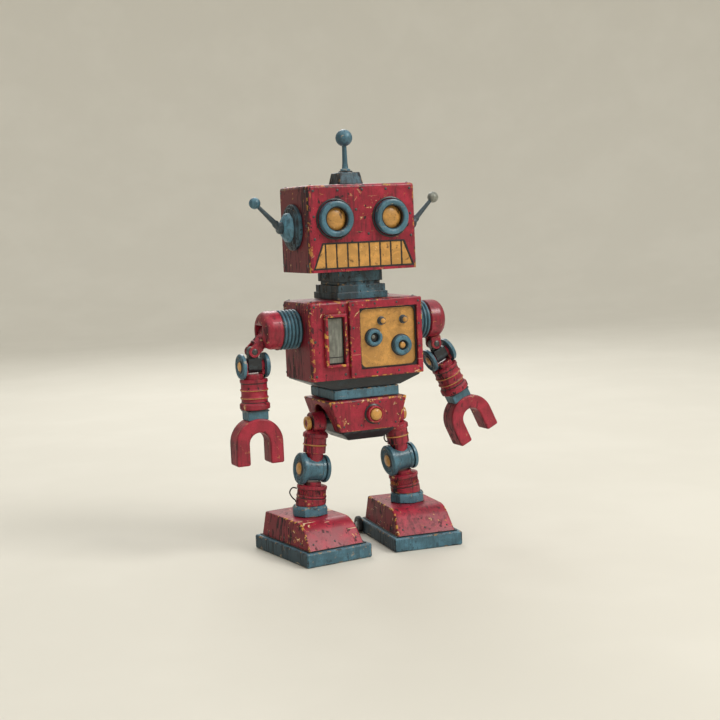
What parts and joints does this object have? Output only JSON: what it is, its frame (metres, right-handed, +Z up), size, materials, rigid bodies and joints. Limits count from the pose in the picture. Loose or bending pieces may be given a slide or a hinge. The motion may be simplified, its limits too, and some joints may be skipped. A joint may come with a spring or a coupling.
{
  "type": "toy robot",
  "caption": "Tin toy robot with square head, dial ears, panel chest, jointed arms with horseshoe claws and hinged legs on broad feet.",
  "frame": {"origin": "on the floor under the middle of the bounding box at rest", "axes": "+Z up, the robot faces -Y, its right side is at -X"},
  "size_m": [0.2092, 0.0842, 0.2993],
  "materials": {
    "red_tin": "worn crimson enamel on pressed tin",
    "red_moulded": "worn crimson enamel",
    "blue_moulded": "worn teal blue enamel",
    "amber": "amber, scuffed",
    "dark_moulded": "dark blue-black, grimy",
    "silver": "dull silver",
    "steel": "plain",
    "rubber": "matt black",
    "wire": "black insulation"
  },
  "bodies": {
    "pelvis": {"pelvis_shell": "red_tin", "pelvis_pan": "dark_moulded", "waist_block": "blue_moulded", "button_bezel": "red_tin"},
    "button": {"power_button": "amber"},
    "torso": {"torso_shell": "red_tin", "torso_skirt": "dark_moulded", "window_bezel": "red_tin", "window_lens": "silver", "control_frame": "red_tin", "control_panel": "amber", "lamp_left": "blue_moulded", "lamp_right": "blue_moulded", "battery_box": "dark_moulded", "motor_unit": "steel", "neck_column": "blue_moulded"},
    "lid": {"battery_lid": "red_tin"},
    "panel_dial_left": {"dial_left": "blue_moulded"},
    "panel_dial_right": {"dial_right": "blue_moulded"},
    "head": {"head_shell": "red_tin", "head_base": "red_tin", "eye_bezel_left": "blue_moulded", "eye_bezel_right": "blue_moulded", "eye_lens_left": "amber", "eye_lens_right": "amber", "mouth_plate": "amber", "antenna_base": "blue_moulded", "top_antenna": "blue_moulded"},
    "ear_right": {"ear_dial_right": "blue_moulded"},
    "shoulder_right": {"shoulder_drum_right": "blue_moulded", "shoulder_cap_right": "red_moulded"},
    "arm_right": {"upper_arm_right": "red_moulded"},
    "elbow_right": {"elbow_block_right": "dark_moulded"},
    "lower_arm_right": {"forearm_right": "red_moulded", "elbow_axle_right": "blue_moulded"},
    "hand_right": {"claw_right": "red_moulded"},
    "upper_leg_right": {"thigh_right": "red_moulded"},
    "lower_leg_right": {"shin_right": "red_moulded", "knee_axle_right": "blue_moulded", "shin_lead": "wire"},
    "foot_right": {"foot_shell_right": "red_tin", "sole_right": "blue_moulded", "ankle_collar_right": "blue_moulded"},
    "roller_right": {"heel_roller_right": "rubber"},
    "ear_left": {"ear_dial_left": "blue_moulded"},
    "shoulder_left": {"shoulder_drum_left": "blue_moulded", "shoulder_cap_left": "red_moulded"},
    "arm_left": {"upper_arm_left": "red_moulded"},
    "elbow_left": {"elbow_block_left": "dark_moulded"},
    "lower_arm_left": {"forearm_left": "red_moulded", "elbow_axle_left": "blue_moulded"},
    "hand_left": {"claw_left": "red_moulded"},
    "upper_leg_left": {"thigh_left": "red_moulded", "thigh_lead": "wire"},
    "lower_leg_left": {"shin_left": "red_moulded", "knee_axle_left": "blue_moulded"},
    "foot_left": {"foot_shell_left": "red_tin", "sole_left": "blue_moulded", "ankle_collar_left": "blue_moulded"},
    "roller_left": {"heel_roller_left": "rubber"}
  },
  "joints": [
    {"name": "waist_turn", "type": "hinge", "parent": "pelvis", "child": "torso", "pos_m": [-0.01026, 0.00128, 0.1175], "axis": [0, 0, 1], "range_deg": [-45, 45]},
    {"name": "head_turn", "type": "hinge", "parent": "torso", "child": "head", "pos_m": [-0.01026, 0.00128, 0.1999], "axis": [0, 0, 1], "range_deg": [-70, 70]},
    {"name": "power_push", "type": "slide", "parent": "pelvis", "child": "button", "axis": [0, 1, 0], "range_m": [0, 0.0015], "stiffness_N_per_m": 200},
    {"name": "battery_lid_swing", "type": "hinge", "parent": "torso", "child": "lid", "pos_m": [-0.01026, 0.02778, 0.1332], "axis": [-1, 0, 0], "range_deg": [0, 100]},
    {"name": "ear_turn_right", "type": "hinge", "parent": "head", "child": "ear_right", "pos_m": [-0.05126, 0.00128, 0.2319], "axis": [1, 0, 0], "range_deg": [-90, 90]},
    {"name": "dial_turn_right", "type": "hinge", "parent": "torso", "child": "panel_dial_right", "pos_m": [-0.00546, -0.02342, 0.1528], "axis": [0, 1, 0], "range_deg": [-150, 150]},
    {"name": "shoulder_turn_right", "type": "hinge", "parent": "torso", "child": "shoulder_right", "pos_m": [-0.05326, 0.00128, 0.1609], "axis": [-1, 0, 0], "range_deg": [-60, 100]},
    {"name": "shoulder_lift_right", "type": "hinge", "parent": "shoulder_right", "child": "arm_right", "pos_m": [-0.07486, 0.00128, 0.1594], "axis": [0, 1, 0], "range_deg": [-5, 39]},
    {"name": "elbow_sway_right", "type": "hinge", "parent": "arm_right", "child": "elbow_right", "pos_m": [-0.08709, 0.00128, 0.14759], "axis": [0, 1, 0], "range_deg": [-1, 60]},
    {"name": "elbow_bend_right", "type": "hinge", "parent": "elbow_right", "child": "lower_arm_right", "pos_m": [-0.08709, 0.00128, 0.13759], "axis": [-1, 0, 0], "range_deg": [0, 85]},
    {"name": "wrist_turn_right", "type": "hinge", "parent": "lower_arm_right", "child": "hand_right", "pos_m": [-0.08709, 0.00128, 0.10719], "axis": [0, 0, 1], "range_deg": [-90, 90]},
    {"name": "hip_swing_right", "type": "hinge", "parent": "pelvis", "child": "upper_leg_right", "pos_m": [-0.04126, 0.00128, 0.0932], "axis": [-1, 0, 0], "range_deg": [-20, 45]},
    {"name": "knee_bend_right", "type": "hinge", "parent": "upper_leg_right", "child": "lower_leg_right", "pos_m": [-0.04531, 0.00128, 0.0602], "axis": [0.9925, 0, -0.1219], "range_deg": [0, 70]},
    {"name": "ankle_turn_right", "type": "hinge", "parent": "lower_leg_right", "child": "foot_right", "pos_m": [-0.04933, 0.00128, 0.0275], "axis": [0, 0, -1], "range_deg": [-4, 6]},
    {"name": "roller_spin_right", "type": "hinge", "parent": "foot_right", "child": "roller_right", "pos_m": [-0.02681, 0.03583, 0.0065], "axis": [0.9945, 0.1045, 0], "continuous": true},
    {"name": "ear_turn_left", "type": "hinge", "parent": "head", "child": "ear_left", "pos_m": [0.03074, 0.00128, 0.2319], "axis": [1, 0, 0], "range_deg": [-90, 90]},
    {"name": "dial_turn_left", "type": "hinge", "parent": "torso", "child": "panel_dial_left", "pos_m": [0.01614, -0.02342, 0.146], "axis": [0, 1, 0], "range_deg": [-150, 150]},
    {"name": "shoulder_turn_left", "type": "hinge", "parent": "torso", "child": "shoulder_left", "pos_m": [0.03274, 0.00128, 0.1609], "axis": [-1, 0, 0], "range_deg": [-60, 100]},
    {"name": "shoulder_lift_left", "type": "hinge", "parent": "shoulder_left", "child": "arm_left", "pos_m": [0.05434, 0.00128, 0.1594], "axis": [0, -1, 0], "range_deg": [-4, 45]},
    {"name": "elbow_sway_left", "type": "hinge", "parent": "arm_left", "child": "elbow_left", "pos_m": [0.05553, 0.00128, 0.14244], "axis": [0, -1, 0], "range_deg": [-16, 22]},
    {"name": "elbow_bend_left", "type": "hinge", "parent": "elbow_left", "child": "lower_arm_left", "pos_m": [0.05975, 0.00128, 0.13338], "axis": [-0.9063, 0, -0.4226], "range_deg": [0, 85]},
    {"name": "wrist_turn_left", "type": "hinge", "parent": "lower_arm_left", "child": "hand_left", "pos_m": [0.0726, 0.00128, 0.10583], "axis": [-0.4226, 0, 0.9063], "range_deg": [-90, 90]},
    {"name": "hip_swing_left", "type": "hinge", "parent": "pelvis", "child": "upper_leg_left", "pos_m": [0.02074, 0.00128, 0.0932], "axis": [-1, 0, 0], "range_deg": [-20, 45]},
    {"name": "knee_bend_left", "type": "hinge", "parent": "upper_leg_left", "child": "lower_leg_left", "pos_m": [0.02479, 0.00128, 0.0602], "axis": [0.9925, 0, 0.1219], "range_deg": [0, 70]},
    {"name": "ankle_turn_left", "type": "hinge", "parent": "lower_leg_left", "child": "foot_left", "pos_m": [0.02881, 0.00128, 0.0275], "axis": [0, 0, 1], "range_deg": [-4, 6]},
    {"name": "roller_spin_left", "type": "hinge", "parent": "foot_left", "child": "roller_left", "pos_m": [0.00629, 0.03583, 0.0065], "axis": [0.9945, -0.1045, 0], "continuous": true}
  ]
}
